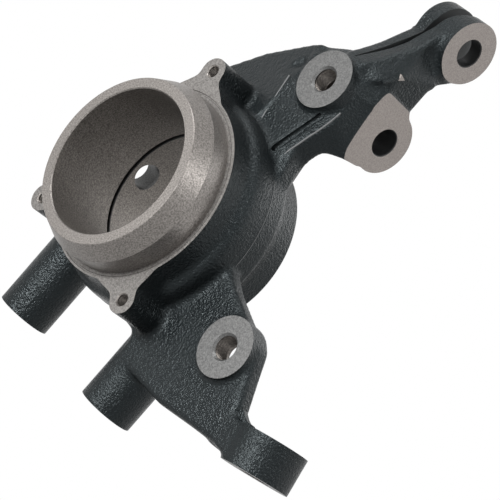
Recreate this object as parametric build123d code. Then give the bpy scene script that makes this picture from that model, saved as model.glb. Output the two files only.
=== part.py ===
from build123d import *
import os
from math import cos, radians, sin

# Steering knuckle of a strut front axle: one iron casting with machined seats.
# Origin: centre of the wheel bearing bore at its outboard mouth.
# +Z up, +Y inboard (away from the wheel), +X rearward (caliper side). Millimetres.

# Hub barrel, turned about the Y axis; every depth runs inboard from its mouth
bore_radius = 39.0
bearing_seat_depth = 45.2
ring_groove_width = 2.1
ring_groove_radius = 40.6
bore_behind_radius = 38.6
barrel_length = 83.0
rim_radius = 44.6
cone_depth = 10.2
spigot_radius = 49.0
shield_seat_depth = 21.8
shield_seat_radius = 52.4
body_radius = 53.6
shoulder_depth = 41.0
flange_radius = 57.5
flange_depth = 50.0
flange_width = 10.0
collar_radius = 49.6
collar_depth = 69.0
collar_chamfer = 0.7

# Front and back faces of the plates that carry the lugs
web_face_depth = 46.0
web_back_depth = 54.5
plate_edge_radius = 2.5
rib_place = 6.0

# Dust shield tabs: threaded holes round the spigot, angles from +X towards +Z
tab_circle_radius = 63.4
tab_angles = (102.6, -139.8, -47.6)
tab_hole_radius = 3.0
tab_hole_length = 16.0
tab_head_radius = 7.2

# Wheel speed sensor: a radial hole towards -X with a screw hole above it
sensor_depth = 57.0
sensor_hole_radius = 7.2
sensor_flat = 50.5
sensor_flat_width = 19.0
sensor_screw_height = 19.0
sensor_screw_radius = 3.0
sensor_screw_length = 12.0

# Caliper bracket lugs: threaded holes along Y, placed round the hub axis
caliper_circle_radius = 97.6
caliper_upper_angle = 74.0
caliper_lower_angle = -17.9
caliper_face_depth = 42.3
caliper_lug_radius = 15.5
caliper_hole_radius = 6.0
caliper_hole_chamfer = 1.1
caliper_upper_hole_length = 26.0

# Ball joint bosses hanging below the barrel, threaded from below
ball_boss_spacing = 89.0
ball_boss_depth = 60.6
ball_boss_radius = 14.4
ball_boss_end = -95.3
ball_hole_radius = 6.0
ball_hole_length = 28.0

# Strut ears: two bolts along X through a 25 mm bracket
strut_face = 48.0
strut_width = 25.0
strut_hole_radius = 7.0
strut_ear_radius = 16.2
strut_upper_depth = 84.6
strut_upper_height = 149.7
strut_lower_depth = 81.0
strut_lower_height = 90.2
strut_slot_width = 8.5
strut_cast_step = 0.7
flank_step = 3.5

# Steering arm eye: its tapered hole for the tie rod leans in the XZ plane
eye_reach = 139.9
eye_depth = 60.0
eye_drop = -54.7
eye_radius = 17.0
eye_height = 18.5
eye_lean = 14.0
eye_hole_top_radius = 6.6
eye_hole_bottom_radius = 7.6

# Longer than the whole part, for cuts that trim everything on one side
well_clear = 300.0


def across(depth):
    """Plane across the hub axis, drawn as (x, z), facing outboard."""
    return Plane.XZ.offset(-depth)


def rod_y(x, z, radius, depth_from, depth_to):
    """Round bar along Y."""
    return extrude(across(depth_to) * Pos(x, z) * Circle(radius), depth_to - depth_from)


def rod_x(y, z, radius, x_from, x_to):
    """Round bar along X."""
    return extrude(Plane.YZ.offset(x_from) * Pos(y, z) * Circle(radius), x_to - x_from)


def rod_z(x, y, radius, z_from, z_to):
    """Round bar along Z."""
    return extrude(Plane.XY.offset(z_from) * Pos(x, y) * Circle(radius), z_to - z_from)


def drill(mouth, out, radius, length, chamfer):
    """Drilled hole with a chamfered mouth; out points away from the metal."""
    plane = Plane(origin=mouth, z_dir=out)
    shank = plane * Pos(0, 0, (1 - length) / 2) * Cylinder(radius, length + 1)
    mouth_cone = Cone(radius, radius + chamfer + 1, chamfer + 1)
    return shank + plane * Pos(0, 0, (1 - chamfer) / 2) * mouth_cone


def beyond(point, normal):
    """Everything on the far side of a plane, for trimming."""
    return extrude(Plane(origin=point, z_dir=normal) * Rectangle(well_clear, well_clear), well_clear)


def plate(outline, depth_from, depth_to):
    """Cast plate with its outboard edge rounded."""
    solid = extrude(across(depth_to) * outline, depth_to - depth_from)
    front = solid.faces().sort_by(Axis.Y)[0]
    return fillet(front.edges(), plate_edge_radius)


# Hub barrel, solid until the bore is cut
barrel_outline = make_face(
    FilletPolyline(
        (0, 0),
        (rim_radius, 0),
        (spigot_radius, cone_depth),
        (spigot_radius, shield_seat_depth),
        (shield_seat_radius, shield_seat_depth),
        (body_radius, shoulder_depth - 9),
        (flange_radius - 0.7, shoulder_depth),
        (flange_radius, flange_depth),
        (flange_radius, flange_depth + flange_width),
        (collar_radius, collar_depth),
        (collar_radius, barrel_length - collar_chamfer),
        (collar_radius - collar_chamfer, barrel_length),
        (0, barrel_length),
        radius=(0, 0, 0, 0, 0, 10, 6, 0, 0, 4, 0, 0, 0),
        close=True,
    )
)
knuckle = revolve(barrel_outline, Axis.Y)

# Upper plate, from the barrel to the upper caliper lug and the strut arm, drawn at its parting
# plane. Rear of the rib its side slopes back from the front face; ahead of it the front face
# falls away towards the plate's edge
upper_outline = make_face(
    FilletPolyline(
        (-30, 10),
        (-44, 36),
        (-57, 51),
        (-47.5, 67),
        (-27, 86.5),
        (0, 104.5),
        (22, 114.5),
        (39, 108),
        (43.2, 92),
        (41, 77.5),
        (33.4, 60),
        (33.4, 30),
        (0, 10),
        radius=(0, 0, 8, 20, 30, 40, 8, 8, 14, 20, 16, 0, 0),
        close=True,
    )
)
upper_back_depth = web_back_depth + 9
upper_plate = extrude(across(upper_back_depth) * upper_outline, upper_back_depth - web_face_depth)
upper_front = upper_plate.faces().sort_by(Axis.Y)[0]
upper_plate = chamfer(upper_front.edges(), 5.5, 4, reference=upper_front)
ahead_of_rib = beyond((rib_place, web_face_depth, 60), (-1, 0, 0))
upper_plate -= ahead_of_rib
fall = extrude(across(upper_back_depth) * upper_outline, upper_back_depth - web_face_depth + 3)
fall &= ahead_of_rib
fall -= beyond((rib_place, web_face_depth - 1.4, 58), (-0.2, -1, 0.05))
knuckle += upper_plate + fall
hollow = Plane(origin=(2.5, web_face_depth + 0.4, 93.5), z_dir=(1, 0, 1)) * Cylinder(2.6, 7)
hollow += Pos(0, web_face_depth + 0.4, 91) * Sphere(2.6)
knuckle -= hollow

# Lower web, from the barrel to the lower caliper lug and the steering arm
ball_x = ball_boss_spacing / 2
lower_outline = make_face(
    FilletPolyline(
        (20, -20),
        (57, -2),
        (70, -8.5),
        (90, -15),
        (104.5, -18),
        (111.5, -30.5),
        (eye_reach - 19.4, eye_drop + 9),
        (eye_reach - 16, eye_drop - 9.6),
        (eye_reach - 36, eye_drop - 12.4),
        (80, -71),
        (ball_x, -71.5),
        (ball_x - 5, -71.5),
        (ball_x - 6, -57),
        (20, -56),
        radius=(0, 6, 20, 10, 10, 10, 8, 8, 20, 20, 0, 0, 6, 0),
        close=True,
    )
)
knuckle += plate(lower_outline, web_face_depth, web_back_depth)

# Steering arm: a neck from the web into the eye
eye_plane = Plane(
    origin=(eye_reach, eye_depth, eye_drop),
    x_dir=(cos(radians(eye_lean)), 0, sin(radians(eye_lean))),
    z_dir=(-sin(radians(eye_lean)), 0, cos(radians(eye_lean))),
)
neck_outline = make_face(
    FilletPolyline(
        (-23, -12),
        (-15, -8),
        (0, -16.5),
        (0, 16.5),
        (-16, 8),
        (-28, 0),
        (-28, -8),
        radius=(0, 6, 0, 0, 8, 0, 0),
        close=True,
    )
)
neck = extrude(eye_plane * Pos(0, 0, 0.5 - eye_height / 2) * neck_outline, eye_height - 1)
neck -= beyond((eye_reach - 24, eye_depth, eye_drop - 11.5), (0.1, 0, -1))
knuckle += neck
knuckle += eye_plane * Cylinder(eye_radius, eye_height)

# Caliper lugs
caliper_places = [
    (caliper_circle_radius * cos(radians(angle)), caliper_circle_radius * sin(radians(angle)))
    for angle in (caliper_upper_angle, caliper_lower_angle)
]
caliper_upper, caliper_lower = caliper_places
knuckle += rod_y(*caliper_upper, caliper_lug_radius, caliper_face_depth, web_back_depth)
knuckle += rod_y(*caliper_lower, caliper_lug_radius, caliper_face_depth, web_back_depth)

# Ball joint bosses
for x in (-ball_x, ball_x):
    knuckle += rod_z(x, ball_boss_depth, ball_boss_radius, ball_boss_end, -30)

# Strut arm root: its side spreads from the plate's edge to the machined strut face
strut_back = strut_face - strut_width
root_front = FilletPolyline(
    (12, 40),
    (34.2, 40),
    (34.2, 58),
    (43.5, 82),
    (42.5, 100),
    (38.5, 107.3),
    (20, 107.3),
    radius=(0, 0, 16, 20, 0, 0, 0),
    close=True,
)
root_back = FilletPolyline(
    (12, 40),
    (37.5, 40),
    (37.5, 58),
    (48.6, 72),
    (51.5, 95),
    (54.5, 107.3),
    (20, 107.3),
    radius=(0, 0, 16, 8, 0, 0, 0),
    close=True,
)
root_side = make_face(
    FilletPolyline(
        (flange_depth, 40),
        (63.5, 40),
        (63, 50),
        (60, 67),
        (69, 71.8),
        (strut_lower_depth - 3, strut_lower_height - 17),
        (strut_lower_depth + 9, strut_lower_height + 1.8),
        (strut_lower_depth + 1, strut_lower_height + 17.1),
        (flange_depth, strut_lower_height + 17.1),
        radius=(0, 0, 8, 4, 0, 5, 0, 0, 0),
        close=True,
    )
)
root_full_depth = 68
front_section = across(flange_depth) * make_face(root_front)
back_section = across(root_full_depth) * make_face(root_back)
root = loft([front_section, back_section])
root += extrude(across(well_clear) * make_face(root_back), well_clear - root_full_depth)
behind_plate = Pos(strut_back, web_back_depth + 10, 60)
corner = (Align.MAX, Align.MIN, Align.MIN)
root -= behind_plate * Box(well_clear, well_clear, well_clear, align=corner)
knuckle += root & extrude(Plane.YZ * root_side, well_clear)

# Strut arm beam, up to the upper ear, drawn as (depth, height)
beam_outline = make_face(
    FilletPolyline(
        (46, 100),
        (46, 111.5),
        (58.3, 125.8),
        (strut_upper_depth - 14.4, strut_upper_height - 5),
        (strut_upper_depth, strut_upper_height + strut_ear_radius),
        (strut_upper_depth + strut_ear_radius - 0.8, strut_upper_height - 4.7),
        (strut_upper_depth + 0.4, strut_upper_height - 16.7),
        (82.5, 125),
        (80, 112),
        (84, 100),
        radius=(0, 12, 40, 0, 0, 0, 10, 14, 0, 0),
        close=True,
    )
)
beam = extrude(Plane.YZ.offset(strut_back) * beam_outline, strut_width - flank_step)
beam -= beyond((strut_face - 8.1, 61.5, 132.5), (0.967, -0.251, 0.044))
knuckle += beam

# Ridge of the arm beside the lower ear; its crest climbs outboard to a low summit
ridge_outline = make_face(
    Polyline(
        (46, 98),
        (46, 103),
        (52.8, 110.1),
        (61, 118.3),
        (83.4, 128),
        (82.8, 125),
        (81.3, 122),
        (81.3, 100),
        close=True,
    )
)
ridge = extrude(Plane.YZ.offset(strut_back) * ridge_outline, strut_width - strut_cast_step)
ridge -= beyond((strut_face, 59.5, 107.5), (0.667, -0.738, 0.097))
knuckle += ridge

# Strut ears, then the machining cut across their faces, which clears the flange
strut_places = ((strut_upper_depth, strut_upper_height), (strut_lower_depth, strut_lower_height))
for depth, height in strut_places:
    knuckle += rod_x(depth, height, strut_ear_radius, strut_back, strut_face)
above_flange = Pos(strut_face, 0, flange_radius - 2.5)
corner = (Align.MIN, Align.CENTER, Align.MIN)
knuckle -= above_flange * Box(well_clear, well_clear, well_clear, align=corner)

# Slot that splits the upper ear and runs out down the arm's outboard edge
slot_foot = (0, strut_upper_depth - 38.6, strut_upper_height - 37.7)
slot_plane = Plane(origin=slot_foot, x_dir=(1, 0, 0), z_dir=(0, -0.8, 0.6))
slot_side = strut_back + 8.5
slot_outline = make_face(
    Polyline(
        (28.2, 0),
        (29, 21),
        (30.5, 38),
        (slot_side, 46),
        (slot_side, 80),
        (slot_side + strut_slot_width, 80),
        (slot_side + strut_slot_width, 50),
        (36, 42),
        (33.5, 35),
        (31.8, 21),
        (28.8, 0),
        close=True,
    )
)
knuckle -= extrude(slot_plane * Pos(0, 0, -9) * slot_outline, 40)
slot_middle = slot_side + strut_slot_width / 2
knuckle -= slot_plane * Pos(slot_middle, 62.5, -10) * Box(strut_slot_width, 37, 60)

# Dust shield tabs, each widening into the seat ring
tab_outline = make_face(
    FilletPolyline(
        (40, -18),
        (51, -16),
        (59, -tab_head_radius),
        (tab_circle_radius + 7, -tab_head_radius),
        (tab_circle_radius + 7, tab_head_radius),
        (59, tab_head_radius),
        (51, 16),
        (40, 18),
        radius=(0, 0, 5, 6.9, 6.9, 5, 0, 0),
        close=True,
    )
)
for angle in tab_angles:
    turned = across(web_face_depth + 2) * Rot(0, 0, angle) * tab_outline
    knuckle += extrude(turned, web_face_depth + 2 - shield_seat_depth)

# Hub bore with its snap ring groove
bore_outline = make_face(
    Polyline(
        (0, -1),
        (bore_radius, -1),
        (bore_radius, bearing_seat_depth),
        (ring_groove_radius, bearing_seat_depth),
        (ring_groove_radius, bearing_seat_depth + ring_groove_width),
        (bore_behind_radius, bearing_seat_depth + ring_groove_width),
        (bore_behind_radius, barrel_length + 1),
        (0, barrel_length + 1),
        close=True,
    )
)
knuckle -= revolve(bore_outline, Axis.Y)

# Sensor hole through the barrel wall, its flat seat and the screw hole above
seat_cut = Pos(-sensor_flat - 10, sensor_depth, 9) * Box(20, sensor_flat_width, 48)
knuckle -= seat_cut
sensor_mouth = (-sensor_flat, sensor_depth, 0)
knuckle -= drill(sensor_mouth, (-1, 0, 0), sensor_hole_radius, 30, 0.6)
screw_mouth = (-sensor_flat, sensor_depth, sensor_screw_height)
knuckle -= drill(screw_mouth, (-1, 0, 0), sensor_screw_radius, sensor_screw_length, 0.6)

# Threaded holes along Y, outboard mouths
for angle in tab_angles:
    x = tab_circle_radius * cos(radians(angle))
    z = tab_circle_radius * sin(radians(angle))
    knuckle -= drill((x, shield_seat_depth, z), (0, -1, 0), tab_hole_radius, tab_hole_length, 0.6)
x, z = caliper_upper
knuckle -= drill(
    (x, caliper_face_depth, z), (0, -1, 0), caliper_hole_radius, caliper_upper_hole_length,
    caliper_hole_chamfer,
)
x, z = caliper_lower
knuckle -= drill(
    (x, caliper_face_depth, z), (0, -1, 0), caliper_hole_radius, 20, caliper_hole_chamfer
)

# Ball joint holes, mouths below
for x in (-ball_x, ball_x):
    mouth = (x, ball_boss_depth, ball_boss_end)
    knuckle -= drill(mouth, (0, 0, -1), ball_hole_radius, ball_hole_length, 1)

# Strut bolt holes and the tie rod hole
for depth, height in strut_places:
    mouth = (strut_face, depth, height)
    knuckle -= drill(mouth, (1, 0, 0), strut_hole_radius, strut_width + 5, 0.4)
knuckle -= eye_plane * Cone(eye_hole_bottom_radius, eye_hole_top_radius, eye_height)

os.makedirs("parts", exist_ok=True)
export_step(knuckle, "parts/steering_knuckle.step")
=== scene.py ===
import math
import bmesh
import bpy
from mathutils import Matrix, Vector


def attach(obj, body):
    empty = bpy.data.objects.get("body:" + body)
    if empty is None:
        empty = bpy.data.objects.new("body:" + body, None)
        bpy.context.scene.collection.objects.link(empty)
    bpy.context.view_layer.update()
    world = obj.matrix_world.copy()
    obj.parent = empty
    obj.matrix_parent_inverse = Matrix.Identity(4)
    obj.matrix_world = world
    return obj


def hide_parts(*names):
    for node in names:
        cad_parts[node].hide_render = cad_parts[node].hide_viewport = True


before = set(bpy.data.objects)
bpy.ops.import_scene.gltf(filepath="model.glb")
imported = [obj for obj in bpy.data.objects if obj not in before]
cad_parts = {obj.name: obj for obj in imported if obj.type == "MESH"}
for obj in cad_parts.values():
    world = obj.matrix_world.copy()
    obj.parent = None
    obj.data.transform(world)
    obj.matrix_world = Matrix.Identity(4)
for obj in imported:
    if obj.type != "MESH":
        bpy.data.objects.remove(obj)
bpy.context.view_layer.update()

# The knuckle's body: ductile iron poured in a green sand mould, then dipped in black paint.
# It leaves the mould with soft roots and edges, and with spare metal wherever a seat is
# machined later, so the holes, slot and seats are filled here and cut further down.
mm = 0.001
weld_gap = 0.002 * mm
spare_metal = 3.5
shield_seat_depth = 21.8
strut_face = 48
rough = bmesh.new()
rough.from_mesh(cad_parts["steering_knuckle"].data)
bmesh.ops.remove_doubles(rough, verts=rough.verts, dist=weld_gap)


def raise_faces(mesh, point, out, height):
    """Spare metal on the flat faces that lie in one plane."""
    out = Vector(out).normalized()
    point = Vector(point) * mm
    found = [
        face for face in mesh.faces
        if face.normal.dot(out) > 0.9999
        and abs((face.calc_center_median() - point).dot(out)) < 0.01 * mm
    ]
    raised = bmesh.ops.extrude_face_region(mesh, geom=found)["geom"]
    corners = [item for item in raised if isinstance(item, bmesh.types.BMVert)]
    bmesh.ops.translate(mesh, verts=corners, vec=out * height * mm)
    bmesh.ops.delete(mesh, geom=found, context="FACES")


raise_faces(rough, (0, shield_seat_depth, 0), (0, -1, 0), spare_metal)
raise_faces(rough, (strut_face, 0, 0), (1, 0, 0), spare_metal)

# Hub barrel: cast as a round block with its bore closed and its two ends left long. The
# flange behind the shield seat has an outboard shoulder that the mould leaves well rounded.
barrel_length = 83
hub_spare = 3
hub_start = -hub_spare
hub_end = barrel_length + hub_spare
collar_start = 72
collar_radius = 49.6
spigot_block_radius = 50.2
spigot_block_end = 30
closed_bore_start = 10
closed_bore_radius = 41.4
hub_rings = 96


def frame_of(origin, along):
    """Placement with its local Z along a direction, in millimetres."""
    turn = Vector(along).to_track_quat("Z", "Y").to_matrix().to_4x4()
    return Matrix.Translation(Vector(origin) * mm) @ turn


def turned(mesh, place, profile, slots=None, rings=96):
    """Closed turned shape about the placement's Z, from (radius, height) points in millimetres."""
    bands = []
    for radius, height in profile:
        if radius == 0:
            bands.append([mesh.verts.new(place @ Vector((0, 0, height * mm)))])
            continue
        ring = []
        for step in range(rings):
            angle = 2 * math.pi * step / rings
            spot = Vector((radius * math.cos(angle), radius * math.sin(angle), height)) * mm
            ring.append(mesh.verts.new(place @ spot))
        bands.append(ring)
    for number, (low, high) in enumerate(zip(bands, bands[1:])):
        for step in range(rings):
            a, b = low[step % len(low)], low[(step + 1) % len(low)]
            c, d = high[(step + 1) % len(high)], high[step % len(high)]
            corners = [v for v, w in zip((a, b, c, d), (b, c, d, a)) if v is not w]
            face = mesh.faces.new(corners)
            face.material_index = slots[number] if slots else 0
    return mesh


def bar(mesh, start, end, radius, slot=0, rings=64):
    """Round bar between two points."""
    along = Vector(end) - Vector(start)
    profile = [(0, 0), (radius, 0), (radius, along.length), (0, along.length)]
    return turned(mesh, frame_of(start, along), profile, [slot] * 3, rings)


for radius, start, end in (
    (spigot_block_radius, hub_start, spigot_block_end),
    (closed_bore_radius, closed_bore_start, hub_end),
    (collar_radius, collar_start, hub_end),
):
    bar(rough, (0, start, 0), (0, end, 0), radius, rings=hub_rings)
inboard = frame_of((0, 0, 0), (0, 1, 0))
flange_shoulder = [
    (0, 34.2), (54.2, 34.2), (55.8, 34.9), (56.9, 36.6), (57.5, 39), (57.9, 43), (58, 48),
    (57.9, 60), (0, 60),
]
turned(rough, inboard, flange_shoulder, rings=hub_rings)

# Caliper lugs, dust shield tabs and ball joint bosses: cast solid on the plates round the
# barrel. Their holes are closed here, and their faces stand proud until they are milled.
caliper_places = [(26.9, 93.82), (92.88, -30.0)]
caliper_lug_radius = 15.5
caliper_lug_front = 38.5
caliper_lug_root = 50
closed_hole_ends = [68, 54.5]
for (x, z), hole_end in zip(caliper_places, closed_hole_ends):
    front = (x, caliper_lug_front, z)
    bar(rough, front, (x, caliper_lug_root, z), caliper_lug_radius)
    bar(rough, front, (x, hole_end, z), radius=7.8)
tab_places = [(-13.83, 61.87), (-48.42, -40.92), (42.75, -46.82)]
tab_front = shield_seat_depth - spare_metal
tab_back = 39
for x, z in tab_places:
    bar(rough, (x, tab_front, z), (x, tab_back, z), radius=3.9)
ball_places = [-44.5, 44.5]
ball_boss_depth = 60.6
ball_boss_radius = 14.4
ball_boss_root = -65
ball_boss_end = -95.3
for x in ball_places:
    root = (x, ball_boss_depth, ball_boss_root)
    end = (x, ball_boss_depth, ball_boss_end - spare_metal)
    bar(rough, end, root, ball_boss_radius)

# The strut arm before its ear is split: the slot is filled, and the arm's flank runs from
# its outboard edge down to the crest beside the lower ear. The foot runs onto the flange.
strut_places = [(84.6, 149.7), (81, 90.2)]
strut_back = 23
strut_ear_radius = 16.2
ear_core = 30
upper_ear = strut_places[0]
closed_ear_start = 24
closed_ear_end = 47
for y, z in strut_places:
    bar(rough, (strut_back, y, z), (strut_face + spare_metal, y, z), radius=8)
    bar(rough, (strut_back - spare_metal, y, z), (ear_core, y, z), strut_ear_radius)
bar(rough, (closed_ear_start, *upper_ear), (closed_ear_end, *upper_ear), strut_ear_radius)
# Outlines drawn sideways are (y, z) with heights along X.
sideways = Matrix(((0, 0, 1, 0), (1, 0, 0, 0), (0, 1, 0, 0), (0, 0, 0, 1)))
arm_side = [
    (46, 100), (46, 111.5), (51, 117), (58, 126), (64, 135.5), (70.5, 145.5), (84.6, 163),
    (98, 145), (84.5, 133), (82, 125), (80, 112), (84, 100),
]
ear_shoulder = [(58, 125.5), (62.6, 133), (68.6, 149.7), (78, 150), (74, 132)]
arm_heel = [(80, 124), (84, 127.4), (88.5, 131.2), (93, 136), (85, 140), (78, 132)]
flank_edge = [
    (37.6, 48.6, 110.5), (38, 50, 116), (38.3, 57.4, 125.4), (39, 63, 133.8), (40, 66.6, 140.5),
]
flank_crest = [
    (40.3, 51, 105.2), (46.5, 53.5, 110.3), (47.7, 60.7, 117.9), (47.5, 72.2, 122.6),
    (47.3, 81.5, 126.6),
]
flank_core = 36
foot_plan = [(35.4, 58), (41.2, 40.4), (30, 44), (30, 58)]
foot_front = 50
foot_back = 60


def slab(mesh, place, outline, low, high, slot=0):
    """Straight-sided block: an outline in the placement's XY, from one height to another."""
    bottom = [mesh.verts.new(place @ (Vector((x, y, low)) * mm)) for x, y in outline]
    top = [mesh.verts.new(place @ (Vector((x, y, high)) * mm)) for x, y in outline]
    faces = [mesh.faces.new(bottom[::-1]), mesh.faces.new(top)]
    for index in range(len(outline)):
        following = (index + 1) % len(outline)
        faces.append(
            mesh.faces.new((bottom[index], bottom[following], top[following], top[index]))
        )
    for face in faces:
        face.material_index = slot
    return mesh


def wedge(mesh, corners):
    """Smallest solid without hollows that holds all the corners."""
    spots = [mesh.verts.new(Vector(corner) * mm) for corner in corners]
    made = bmesh.ops.convex_hull(mesh, input=spots)
    unused = [item for item in made["geom_interior"] if isinstance(item, bmesh.types.BMVert)]
    bmesh.ops.delete(mesh, geom=unused, context="VERTS")


slab(rough, sideways, arm_side, low=24, high=36.5)
slab(rough, sideways, ear_shoulder, low=32, high=42)
flank = flank_edge + flank_crest
wedge(rough, flank + [(flank_core, y, z) for x, y, z in flank])
slab(rough, sideways, arm_heel, low=38, high=46)
wedge(rough, [(x, y, z) for x, z in foot_plan for y in (foot_front, foot_back)])

# Steering arm's eye: a thick round end that takes the tie rod, cast without its hole. The web
# runs out into it in one broad hollow.
eye_middle = Vector((139.9, 60, -54.7))
eye_lean = math.radians(14)
eye_out = Vector((-math.sin(eye_lean), 0, math.cos(eye_lean)))
eye_radius = 17
eye_rough_half = 11
eye_bottom = eye_middle - eye_out * eye_rough_half
eye_top = eye_middle + eye_out * eye_rough_half
bar(rough, eye_bottom, eye_top, eye_radius)
web_back = 56
web_end = [
    (117, 46.4, -64.3), (117, 46.4, -49.5), (133.5, 44.8, -64.5), (133.5, 44.8, -47.6),
]
wedge(rough, web_end + [(x, web_back, z) for x, y, z in web_end])

# Wheel speed sensor's place on the barrel's side: its hole and its screw's hole are closed in
# the casting like the others.
sensor_mouth = Vector((-50.5, 57, 0))
screw_mouth = Vector((-50.5, 57, 19))
bar(rough, sensor_mouth, (-38, 57, 0), radius=8.2)
bar(rough, screw_mouth, (-38.2, 57, 19), radius=4)
bmesh.ops.recalc_face_normals(rough, faces=rough.faces)

# The mould's own softness: sand rounds every root, keeps the outer edges a little firmer and
# leaves a skin slightly larger than the drawn shape.
knuckle_mesh = bpy.data.meshes.new("steering_knuckle_casting")
rough.to_mesh(knuckle_mesh)
rough.free()
knuckle = bpy.data.objects.new("steering_knuckle_casting", knuckle_mesh)
bpy.context.collection.objects.link(knuckle)


def settle(piece):
    """The piece's modifiers become its own mesh."""
    bpy.context.view_layer.update()
    shape = piece.evaluated_get(bpy.context.evaluated_depsgraph_get())
    finished = bpy.data.meshes.new_from_object(shape)
    piece.modifiers.clear()
    old = piece.data
    piece.data = finished
    bpy.data.meshes.remove(old)


grain = 0.85 * mm
root_radius = 1.7 * mm
skin_growth = 0.22 * mm
for name, growth in (("swell", root_radius), ("shrink", -root_radius), ("skin", skin_growth)):
    remesh = knuckle.modifiers.new("mould " + name, "REMESH")
    remesh.mode = "VOXEL"
    remesh.voxel_size = grain
    if name == "skin":
        soften = knuckle.modifiers.new("soften", "SMOOTH")
        soften.factor = 0.5
        soften.iterations = 1
    push = knuckle.modifiers.new(name, "DISPLACE")
    push.strength = growth
    push.mid_level = 0
thin = knuckle.modifiers.new("thin out flats", "DECIMATE")
thin.ratio = 0.69
settle(knuckle)

# Black dip paint on the whole casting: thin and slightly glossy, pooled smoother in places,
# with the sand's grain showing through it.


def finish(name, colour, roughness, metallic=0.0, specular=0.5):
    """New material with the plain values on the shader itself."""
    material = bpy.data.materials.new(name)
    material.use_nodes = True
    shader = material.node_tree.nodes["Principled BSDF"]
    shader.inputs["Base Color"].default_value = (*colour, 1)
    shader.inputs["Roughness"].default_value = roughness
    shader.inputs["Metallic"].default_value = metallic
    shader.inputs["Specular IOR Level"].default_value = specular
    return material


def noise(material, scale, detail=2.0):
    """Noise in the object's own coordinates; scale is cells per metre."""
    nodes, links = material.node_tree.nodes, material.node_tree.links
    place = nodes.new("ShaderNodeTexCoord")
    cells = nodes.new("ShaderNodeTexNoise")
    cells.inputs["Scale"].default_value = scale
    cells.inputs["Detail"].default_value = detail
    links.new(place.outputs["Object"], cells.inputs["Vector"])
    return cells.outputs["Fac"]


def shades(material, socket, source, stops, name):
    """Noise turned into colours or values through a ramp of (place, value) stops."""
    nodes, links = material.node_tree.nodes, material.node_tree.links
    ramp = nodes.new("ShaderNodeValToRGB")
    ramp.label = name
    for number, (spot, value) in enumerate(stops):
        stop = ramp.color_ramp.elements[number]
        stop.position = spot
        stop.color = (*value, 1) if isinstance(value, tuple) else (value, value, value, 1)
    links.new(source, ramp.inputs["Fac"])
    links.new(ramp.outputs["Color"], socket)


def relief(material, layers):
    """Surface relief from layers of (noise, depth in metres), one over the other."""
    nodes, links = material.node_tree.nodes, material.node_tree.links
    below = None
    for source, depth in layers:
        bump = nodes.new("ShaderNodeBump")
        bump.inputs["Distance"].default_value = depth
        links.new(source, bump.inputs["Height"])
        if below:
            links.new(below, bump.inputs["Normal"])
        below = bump.outputs["Normal"]
    links.new(below, nodes["Principled BSDF"].inputs["Normal"])


def add_finish(material):
    """The casting takes one more material; its number is what cut faces carry."""
    knuckle.data.materials.append(material)
    return len(knuckle.data.materials) - 1


paint = finish("black_dip_paint", (0.005, 0.0062, 0.0067), roughness=0.28, specular=0.15)
paint_shader = paint.node_tree.nodes["Principled BSDF"]
paint_shader.inputs["Specular Tint"].default_value = (0.86, 0.97, 1.0, 1)
pooling = noise(paint, scale=55, detail=3)
pooled = [(0.35, 0.2), (0.65, 0.36)]
shades(paint, paint_shader.inputs["Roughness"], pooling, pooled, "paint pooling")
sand = noise(paint, scale=900, detail=3)
coarse = noise(paint, scale=500)
relief(paint, [(coarse, 0.3 * mm), (sand, 0.6 * mm)])
paint_slot = add_finish(paint)

# Flash: the thin raised line left where the two halves of the mould met, along the foot of
# the strut arm and round the flange, with its paint rubbed off. Its lighter grey is partly that
# wear and partly a painted highlight for the light along its edge. A narrow trough lies beside
# it, and thin cast edges run along the rib and the arm's crest; the rib's edge takes the same
# lighter grey as a painted highlight.
worn_and_highlight_slot = add_finish(finish("worn_flash_and_highlight", (0.055, 0.056, 0.057), 0.45, specular=0.3))
trough = [(26.9, 46.9, 50.5), (30.7, 46.9, 61.8), (33.5, 46.9, 69.4), (37.3, 46.9, 80)]
parting = [
    (33.2, 49.5, 47), (32.4, 49.6, 51.6), (33.3, 49.8, 57.4), (35.1, 49.8, 62),
    (37.4, 49.8, 68.5), (39.7, 49.8, 74), (41.7, 49.8, 80.5), (43, 49.8, 86.5),
]
rib_line = [(8.3, 46.1, 60.5), (6.6, 46, 67.8), (5.1, 45.9, 76.5), (3, 46.3, 85)]
crest_line = [(46.8, 53.5, 110.2), (47, 60.7, 117.8), (46.9, 72.2, 122.5), (46.8, 81.5, 126.5)]
flange_flash = [(0, 48.5), (57.9, 48.5), (58.4, 49), (57.9, 49.5), (0, 49.5)]


def work(name, tool_mesh, operation="DIFFERENCE"):
    """One tool mesh taken out of the casting, or joined to it; its faces keep their materials."""
    bmesh.ops.recalc_face_normals(tool_mesh, faces=tool_mesh.faces)
    mesh = bpy.data.meshes.new(name)
    tool_mesh.to_mesh(mesh)
    tool_mesh.free()
    for material in knuckle.data.materials:
        mesh.materials.append(material)
    tool = bpy.data.objects.new(name, mesh)
    bpy.context.collection.objects.link(tool)
    step = knuckle.modifiers.new(name, "BOOLEAN")
    step.operation = operation
    step.object = tool
    step.solver = "MANIFOLD"
    step.material_mode = "INDEX"
    settle(knuckle)
    bpy.data.objects.remove(tool)
    bpy.data.meshes.remove(mesh)


for name, line, radius, slot, operation in (
    ("trough", trough, 1.7, paint_slot, "DIFFERENCE"),
    ("parting_flash", parting, 0.5, worn_and_highlight_slot, "UNION"),
    ("rib_edge", rib_line, 0.55, worn_and_highlight_slot, "UNION"),
    ("arm_crest", crest_line, 0.8, paint_slot, "UNION"),
):
    for start, end in zip(line, line[1:]):
        work(name, bar(bmesh.new(), start, end, radius, slot, rings=16), operation)
flash_ring = turned(bmesh.new(), inboard, flange_flash, [worn_and_highlight_slot] * 4, rings=160)
work("flange_flash", flash_ring, "UNION")

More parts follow.
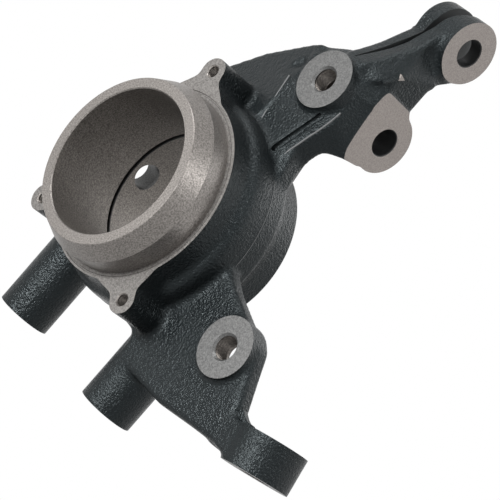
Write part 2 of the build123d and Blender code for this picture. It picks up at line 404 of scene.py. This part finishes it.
# The wheel bearing's seat: bored and turned in one clamping, so it is bare iron with fine
# grain. Outside stand a cone and a spigot, and the dust shield sits on the ring behind them.
bore_radius = 39.0
bore_behind_radius = 38.6
ring_groove_start = 45.2
ring_groove_end = 47.3
ring_groove_radius = 40.6
spigot_radius = 49
cone_depth = 10.2
turning_reach = 80
boring_end = 92
turned_rings = 128


def bare_iron(name, dark, light, roughness, grain_scale, depth):
    """Machined iron: grain of two shades and a fine relief."""
    material = finish(name, light, roughness, metallic=0.75)
    shader = material.node_tree.nodes["Principled BSDF"]
    fine = noise(material, grain_scale)
    shades(material, shader.inputs["Base Color"], fine, [(0.3, dark), (0.7, light)], "iron grain")
    relief(material, [(fine, depth)])
    return material


hub_slot = add_finish(bare_iron(
    "turned_iron", (0.085, 0.078, 0.072), (0.205, 0.19, 0.178),
    roughness=0.42, grain_scale=1300, depth=0.12 * mm,
))
seat_slot = add_finish(bare_iron(
    "seat_ring_iron", (0.085, 0.08, 0.076), (0.19, 0.181, 0.172),
    roughness=0.4, grain_scale=1300, depth=0.1 * mm,
))
bore_slot = add_finish(bare_iron(
    "bored_iron", (0.06, 0.054, 0.048), (0.17, 0.154, 0.14),
    roughness=0.5, grain_scale=1300, depth=0.15 * mm,
))
groove_slot = add_finish(finish("ring_groove_shade", (0.004, 0.004, 0.004), roughness=0.6))
register_groove = [
    (51.6, shield_seat_depth), (51.3, 22.3), (50.8, 22.3), (50.5, shield_seat_depth),
]
outside = [
    (0, -8), (turning_reach, -8), (turning_reach, shield_seat_depth), *register_groove,
    (spigot_radius, shield_seat_depth), (spigot_radius, cone_depth), (44.7, 0.25), (44.4, 0),
    (0, 0),
]
inside = [
    (0, -1), (40.2, -1), (bore_radius, 0.6), (bore_radius, ring_groove_start),
    (ring_groove_radius, ring_groove_start), (ring_groove_radius, ring_groove_end),
    (bore_behind_radius, ring_groove_end), (bore_behind_radius, boring_end), (0, boring_end),
]
behind = [
    (0, barrel_length), (48.9, barrel_length), (50.4, 81.5), (60, 81.5), (60, boring_end),
    (0, boring_end),
]
for name, profile, slots in (
    ("hub_turning", outside, [paint_slot] * 2 + [seat_slot] * 5 + [hub_slot] * 4),
    ("hub_boring", inside, [hub_slot] * 2 + [bore_slot] + [groove_slot] * 3 + [bore_slot] * 2),
    ("hub_back", behind, [hub_slot] * 5),
):
    work(name, turned(bmesh.new(), inboard, profile, slots, turned_rings))

# Caliper lugs, shield tabs and ball joint bosses again: their faces are milled to bare iron
# and their holes drilled and chamfered. The caliper's and the shield's holes are tapped.
caliper_face_depth = 42.3
caliper_cutter_start = 30
caliper_cutter_radius = 22
caliper_hole_radius = 6
caliper_hole_lengths = [26, 20]
tab_hole_radius = 3
ball_cutter_start = -105
ball_cutter_radius = 18
ball_hole_radius = 6
# A lighter, shinier copy of the machined iron on the chamfered mouths of the ball joint holes and
# the sensor's holes: a painted highlight for the light those edges catch.
edge_highlight_slot = add_finish(finish("edge_painted_highlight", (0.3, 0.29, 0.28), roughness=0.35, metallic=0.85))
milled_slot = add_finish(bare_iron(
    "milled_iron", (0.056, 0.056, 0.056), (0.118, 0.118, 0.116),
    roughness=0.42, grain_scale=1500, depth=0.08 * mm,
))
# Drilled iron for the walls and threads of the holes, darker than the turned iron: painted shade
# for the inside of the holes.
hole_shade_slot = add_finish(bare_iron(
    "drilled_iron_painted_shade", (0.045, 0.04, 0.036), (0.11, 0.098, 0.088),
    roughness=0.4, grain_scale=900, depth=0.1 * mm,
))


def drill(name, mouth, out, radius, depth, chamfer, wall=hole_shade_slot, rim=edge_highlight_slot):
    """Hole with a chamfered mouth; out points away from the metal."""
    clear = 8
    profile = [
        (0, clear), (radius + chamfer, clear), (radius + chamfer, 0), (radius, -chamfer),
        (radius, -depth), (0, -depth),
    ]
    slots = [wall, wall, rim, wall, wall]
    work(name, turned(bmesh.new(), frame_of(mouth, out), profile, slots, rings=64))


def thread(name, mouth, out, radius, start, depth, pitch):
    """Thread turns of a tapped hole, as rings cut into its wall."""
    root = radius + 0.6 * pitch
    turns = int((depth - start) / pitch)
    end = -start - turns * pitch
    profile = [(0, -start)]
    for number in range(turns):
        top = -start - number * pitch
        profile += [(radius, top), (root, top - pitch / 2)]
    profile += [(radius, end), (0, end)]
    slots = [hole_shade_slot] * (len(profile) - 1)
    work(name, turned(bmesh.new(), frame_of(mouth, out), profile, slots, rings=48))


outboard = (0, -1, 0)
for (x, z), depth in zip(caliper_places, caliper_hole_lengths):
    mouth = (x, caliper_face_depth, z)
    start = (x, caliper_cutter_start, z)
    work("caliper_face", bar(bmesh.new(), start, mouth, caliper_cutter_radius, milled_slot))
    drill(
        "caliper_hole", mouth, outboard, caliper_hole_radius, depth, chamfer=1.1,
        rim=milled_slot,
    )
    thread("caliper_thread", mouth, outboard, caliper_hole_radius, start=1.6, depth=11, pitch=1.5)
for x, z in tab_places:
    mouth = (x, shield_seat_depth, z)
    drill("shield_hole", mouth, outboard, tab_hole_radius, depth=16, chamfer=0.6, rim=hub_slot)
    thread("shield_thread", mouth, outboard, tab_hole_radius, start=1, depth=14, pitch=1)
for x in ball_places:
    mouth = (x, ball_boss_depth, ball_boss_end)
    start = (x, ball_boss_depth, ball_cutter_start)
    work("ball_joint_face", bar(bmesh.new(), start, mouth, ball_cutter_radius, milled_slot))
    drill("ball_joint_hole", mouth, (0, 0, -1), ball_hole_radius, depth=28, chamfer=1)

# Strut bracket's seat: one milled plane across both ears, with a small milled summit beside
# the slot's foot, and two plain bolt holes. The far sides of the ears are spot faced.
strut_hole_radius = 7.1
spot_face_start = 12
spot_face_radius = 17
face_cutter_end = 60
summit_root = 46
# The strut faces and the ears' spot faces are milled like the other faces, but their iron is
# painted lighter than the milled iron; the difference is painted light.
strut_face_lit_slot = add_finish(bare_iron(
    "strut_face_iron_painted_light", (0.135, 0.121, 0.112), (0.21, 0.189, 0.176),
    roughness=0.45, grain_scale=1400, depth=0.08 * mm,
))
dark_slot = add_finish(finish("shaded_hole", (0.012, 0.0125, 0.013), 0.45, specular=0.3))
near_side = [(30, 68), (120, 68), (120, 180), (30, 180)]
summit = [(59.9, 116.2), (63.0, 118.4), (59.3, 119.3)]
face_cut = slab(bmesh.new(), sideways, near_side, strut_face, face_cutter_end, strut_face_lit_slot)
work("strut_face", face_cut)
summit_block = slab(bmesh.new(), sideways, summit, summit_root, strut_face, strut_face_lit_slot)
work("milled_summit", summit_block, "UNION")
for y, z in strut_places:
    start, end = (spot_face_start, y, z), (strut_back, y, z)
    work("strut_far_face", bar(bmesh.new(), start, end, spot_face_radius, strut_face_lit_slot))
    mouth = (strut_face, y, z)
    drill(
        "strut_hole", mouth, (1, 0, 0), strut_hole_radius, depth=30, chamfer=0.4,
        wall=dark_slot, rim=dark_slot,
    )

# Steering arm's eye: both ends are milled flat, and the tie rod's taper is reamed through.
# The web's root runs up beside the upper face.
eye_half_height = 9.25
eye_wide_radius = 7.86
eye_narrow_radius = 6.34
eye_hole_half = 14
eye_facing = [(0, 0), (18.8, 0), (18.8, 3), (0, 3)]
for side in (-1, 1):
    seat = frame_of(eye_middle + eye_out * side * eye_half_height, eye_out * side)
    slots = [milled_slot, paint_slot, paint_slot]
    work("eye_face", turned(bmesh.new(), seat, eye_facing, slots, rings=64))
# The outline seen from outboard is (x, z) with heights along Y.
seen_outboard = Matrix(((1, 0, 0, 0), (0, 0, 1, 0), (0, 1, 0, 0), (0, 0, 0, 1)))
web_root = [
    (118, -46), (122.2, -44.3), (124.2, -45.2), (126.2, -46.1), (128.6, -46.7), (131.6, -46.4),
    (131.6, -50), (118, -50),
]
work("web_root", slab(bmesh.new(), seen_outboard, web_root, low=47.6, high=50.5), "UNION")
eye_taper = [
    (0, -eye_hole_half), (eye_wide_radius, -eye_hole_half), (eye_narrow_radius, eye_hole_half),
    (0, eye_hole_half),
]
eye_place = frame_of(eye_middle, eye_out)
work("eye_hole", turned(bmesh.new(), eye_place, eye_taper, [hole_shade_slot] * 3, rings=64))

# Wheel speed sensor's place, machined: a milled flat on the barrel's side, a hole through to
# the bore for the sensor's nose, and a blind hole above it for its screw.
sensor_hole_radius = 7.2
screw_hole_radius = 3
flat_middle = 9
flat_half_length = 24
flat_plan = [(0, -9.5), (0, 9.5), (-20, 9.5), (-20, -9.5)]
flat_place = Matrix.Translation((sensor_mouth + Vector((0, 0, flat_middle))) * mm)
flat_cut = slab(
    bmesh.new(), flat_place, flat_plan, -flat_half_length, flat_half_length, milled_slot,
)
work("sensor_flat", flat_cut)
sideward = (-1, 0, 0)
drill(
    "sensor_hole", sensor_mouth, sideward, sensor_hole_radius, depth=30, chamfer=0.6,
    wall=milled_slot,
)
drill("sensor_screw_hole", screw_mouth, sideward, screw_hole_radius, depth=12, chamfer=0.6)

# The slot that splits the upper strut ear: cast as a thin gap along the arm's edge, wider
# between the two walls that the bolt draws together. Its walls keep their paint, given as a
# lighter copy of the black paint: painted light that lifts the shade inside the gap.
slot_wall_painted_light = add_finish(finish("slot_paint_painted_light", (0.017, 0.0185, 0.019), 0.5, specular=0.3))
slot_lean = math.atan2(4, 3)
slot_foot = Vector((0, 46, 112)) * mm
slot_place = Matrix.Translation(slot_foot) @ Matrix.Rotation(slot_lean, 4, "X")
thin_gap = [
    (28.2, 0), (28.9, 0), (32, 21), (33.6, 35), (35, 44), (36.5, 50), (40, 60), (40, 80),
    (31.5, 80), (31.5, 46), (30.5, 38), (29, 21),
]
wide_gap = [(31.5, 44), (40, 44), (40, 81), (31.5, 81)]
thin_cut = slab(bmesh.new(), slot_place, thin_gap, low=-9, high=31, slot=slot_wall_painted_light)
work("ear_slot", thin_cut)
wide_cut = slab(bmesh.new(), slot_place, wide_gap, low=-40, high=-6, slot=slot_wall_painted_light)
work("ear_gap", wide_cut)

# The finished knuckle: machined faces meet the painted skin at crisp edges, milled faces are
# flat, and the rest of the casting is smooth.
skin_crease = math.radians(32)
machined_crease = math.radians(17)
flat_slots = {milled_slot, strut_face_lit_slot}
for face in knuckle.data.polygons:
    face.use_smooth = face.material_index not in flat_slots
knuckle.data.set_sharp_from_angle(angle=skin_crease)
shape = bmesh.new()
shape.from_mesh(knuckle.data)
for edge in shape.edges:
    finishes = [face.material_index for face in edge.link_faces]
    if len(set(finishes)) > 1:
        edge.smooth = False
    elif finishes[0] != paint_slot and edge.calc_face_angle(0) > machined_crease:
        edge.smooth = False
shape.to_mesh(knuckle.data)
shape.free()
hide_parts("steering_knuckle")
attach(knuckle, "root")

# Surroundings: a white world that the camera and the reflections see at full strength, while
# a dimmer grey lights the casting evenly from all sides.
surround_grey = (0.8, 0.8, 0.8)
surround_strength = 0.5
world = bpy.data.worlds.new("white_studio")
bpy.context.scene.world = world
world.use_nodes = True
nodes, links = world.node_tree.nodes, world.node_tree.links
nodes["Background"].inputs["Color"].default_value = (*surround_grey, 1)
nodes["Background"].inputs["Strength"].default_value = surround_strength
seen = nodes.new("ShaderNodeBackground")
seen.inputs["Color"].default_value = (1, 1, 1, 1)
seen.inputs["Strength"].default_value = 1.0
rays = nodes.new("ShaderNodeLightPath")
either = nodes.new("ShaderNodeMath")
either.operation = "MAXIMUM"
links.new(rays.outputs["Is Camera Ray"], either.inputs[0])
links.new(rays.outputs["Is Glossy Ray"], either.inputs[1])
any_seen = nodes.new("ShaderNodeMath")
any_seen.operation = "MAXIMUM"
links.new(either.outputs[0], any_seen.inputs[0])
links.new(rays.outputs["Is Transmission Ray"], any_seen.inputs[1])
mix = nodes.new("ShaderNodeMixShader")
links.new(any_seen.outputs[0], mix.inputs["Fac"])
links.new(nodes["Background"].outputs[0], mix.inputs[1])
links.new(seen.outputs[0], mix.inputs[2])
links.new(mix.outputs[0], nodes["World Output"].inputs["Surface"])

# The camera stands outboard on the caliper side, with a long lens and rolled over, as the
# photograph was taken. Its place is given along its own right, up and back.
azimuth = math.radians(44.11)
height = math.radians(2.5)
roll = math.radians(41.1)
camera_right = 63.3
camera_up = -42.7
camera_back = 946.9
back = Vector((
    math.sin(azimuth) * math.cos(height), -math.cos(azimuth) * math.cos(height),
    math.sin(height),
))
level = Vector((math.cos(azimuth), math.sin(azimuth), 0))
upright = back.cross(level)
right = math.cos(roll) * level + math.sin(roll) * upright
up = math.cos(roll) * upright - math.sin(roll) * level
camera_data = bpy.data.cameras.new("camera")
camera_data.lens = 144
camera_data.sensor_width = 36
camera = bpy.data.objects.new("camera", camera_data)
bpy.context.collection.objects.link(camera)
stand = Matrix((right, up, back)).transposed().to_4x4()
stand.translation = (right * camera_right + up * camera_up + back * camera_back) * mm
camera.matrix_world = stand
bpy.context.scene.camera = camera
bpy.context.scene.view_settings.view_transform = "Standard"

# Six soft lamps round the casting, placed by the camera's own right, up and back: the key
# lamp stands high on the left, and weaker ones fill the far sides.
lamp_target = Vector((40, 50, 30)) * mm
for name, toward, distance, size, power in (
    ("key_lamp", (-0.56, 0.49, 0.67), 0.9, 0.25, 19),
    ("side_lamp", (0.8, 0.1, 0.55), 0.9, 0.22, 3.6),
    ("low_lamp", (0.72, -0.66, 0.2), 0.9, 0.5, 1.2),
    ("rear_lamp", (0.88, 0.1, -0.45), 0.9, 0.8, 4.5),
    ("front_lamp", (-0.25, 0.1, 0.96), 1.2, 0.5, 2.5),
    ("top_lamp", (0.15, 1.0, 0.25), 0.9, 0.3, 5),
):
    lamp_data = bpy.data.lights.new(name, "AREA")
    lamp_data.size = size
    lamp_data.energy = power
    lamp = bpy.data.objects.new(name, lamp_data)
    bpy.context.collection.objects.link(lamp)
    where = (right * toward[0] + up * toward[1] + back * toward[2]).normalized() * distance
    lamp.location = where + lamp_target
    lamp.rotation_euler = where.to_track_quat("Z", "Y").to_euler()
